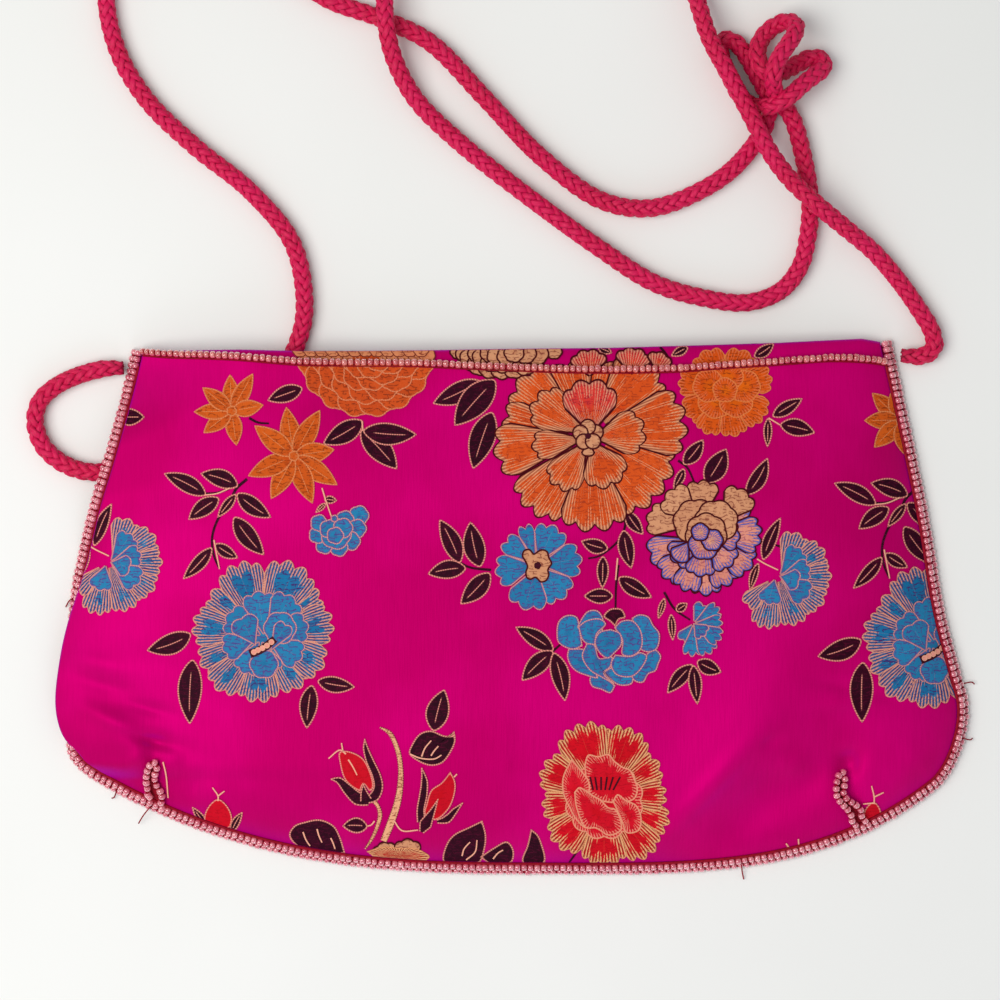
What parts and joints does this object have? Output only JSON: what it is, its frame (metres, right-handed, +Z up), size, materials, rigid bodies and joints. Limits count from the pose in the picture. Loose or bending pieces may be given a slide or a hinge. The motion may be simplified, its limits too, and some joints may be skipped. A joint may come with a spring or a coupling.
{
  "type": "embroidered evening purse",
  "caption": "Flat, open-mouthed silk brocade purse with beaded seams and darts and a long knotted braided shoulder cord, lying on its back.",
  "frame": {"origin": "middle of the purse's outline, cord left out, on the surface it lies on", "axes": "+X to the purse's right side as seen from above, +Y to its mouth, +Z up from the surface through the front"},
  "size_m": [0.2449, 0.2673, 0.0169],
  "materials": {
    "silk_brocade": "fuchsia satin ground with woven flowers and leaves",
    "silk_satin": "plain fuchsia satin",
    "seed_beads": "translucent coral glass",
    "braided_cord": "round raspberry braid with a soft sheen"
  },
  "bodies": {
    "root": {"front_panel": "silk_brocade", "back_panel": "silk_satin", "top_bead_string": "seed_beads", "edge_bead_string_front": "seed_beads", "edge_bead_string_back": "seed_beads", "left_dart_bead_string": "seed_beads", "right_dart_bead_string": "seed_beads", "shoulder_cord_long_run": "braided_cord", "strap_bow_knot": "braided_cord", "shoulder_cord_short_run": "braided_cord"}
  },
  "joints": []
}
